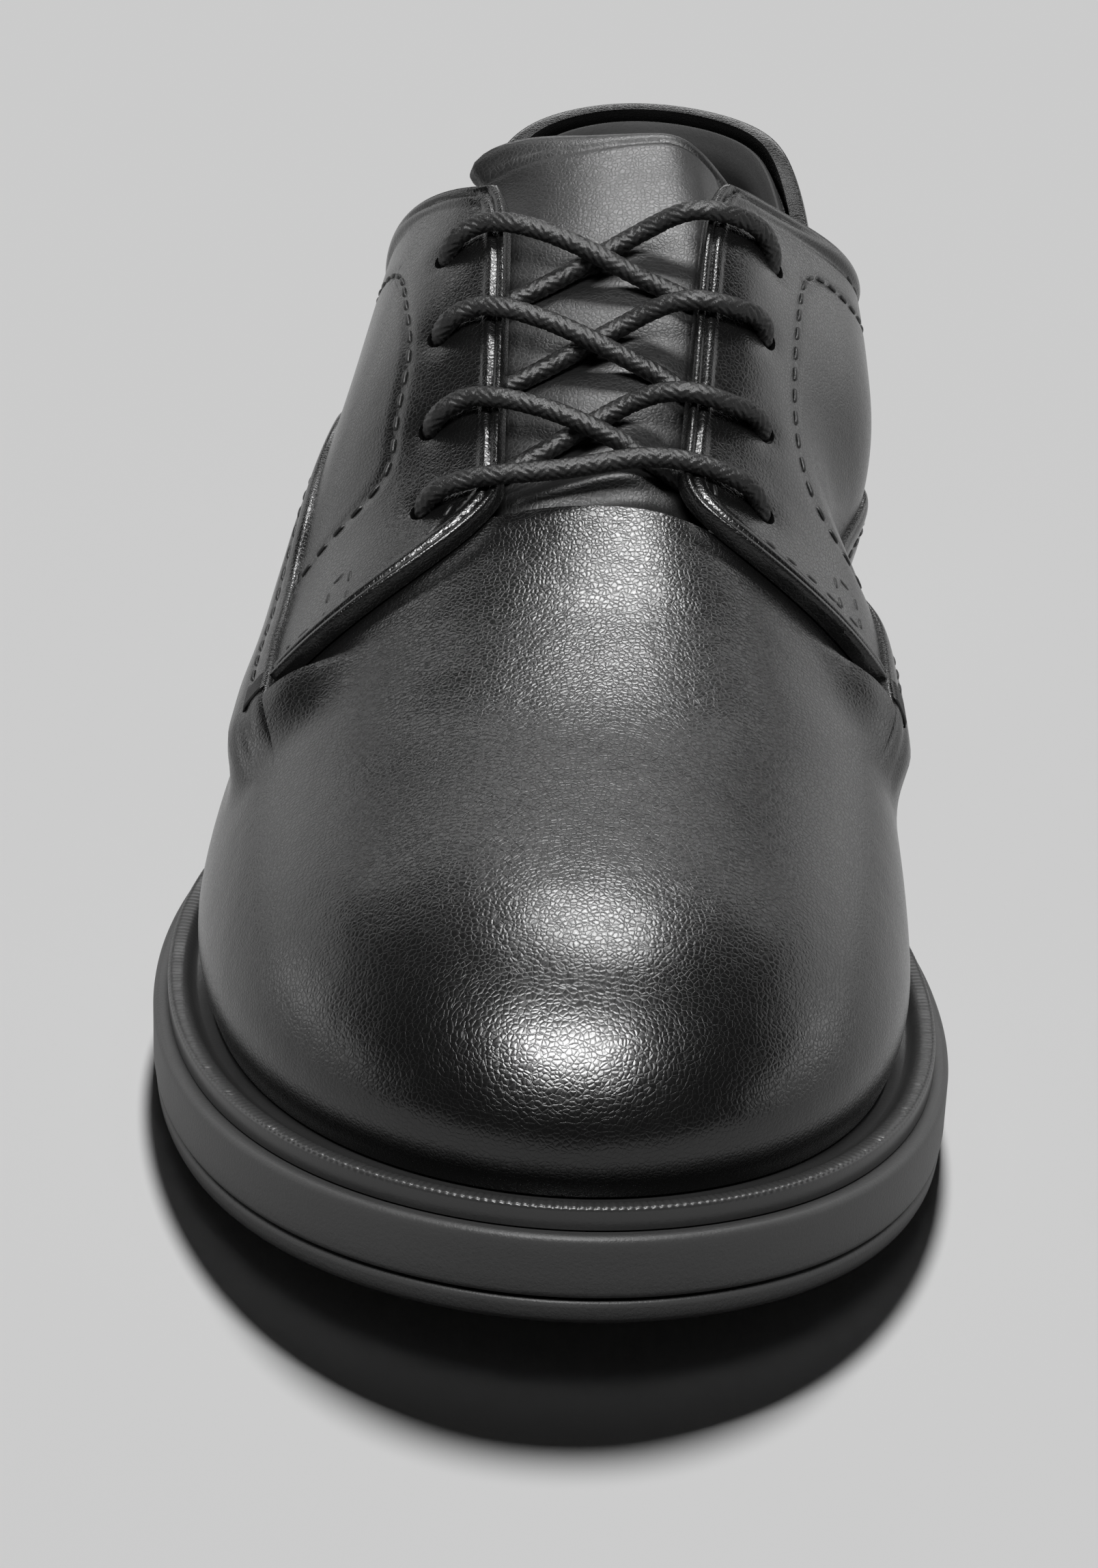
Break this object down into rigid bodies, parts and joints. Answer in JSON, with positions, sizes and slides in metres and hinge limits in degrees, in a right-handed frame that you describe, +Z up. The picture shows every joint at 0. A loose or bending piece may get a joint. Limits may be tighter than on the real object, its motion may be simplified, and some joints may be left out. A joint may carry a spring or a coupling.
{
  "type": "plain-toe oxford shoe",
  "caption": "Black smooth leather plain-toe lace-up dress shoe with open-laced quarters, a storm welt and a thick rubber sole.",
  "frame": {"origin": "on the floor, in the middle of the sole's length and width", "axes": "-Y towards the toe, +X towards the inner side of the foot, +Z up"},
  "size_m": [0.115, 0.3053, 0.1165],
  "materials": {
    "black_leather": "smooth polished calf, fine pebble grain",
    "tongue_leather": "smooth, a little duller than the vamp",
    "lining": "matte lining leather",
    "welt_rubber": "satin, wheeled edge",
    "sole_rubber": "matte, fine texture",
    "waxed_cord": "waxed round braid"
  },
  "bodies": {
    "root": {"upper": "black_leather", "quarter_lateral": "black_leather", "quarter_medial": "black_leather", "tongue": "tongue_leather", "insole": "lining", "welt": "welt_rubber", "midsole": "sole_rubber", "outsole": "sole_rubber", "heel": "sole_rubber", "lace_bar": "waxed_cord", "lace_cross_1": "waxed_cord", "lace_cross_2": "waxed_cord", "lace_cross_3": "waxed_cord"}
  },
  "joints": []
}
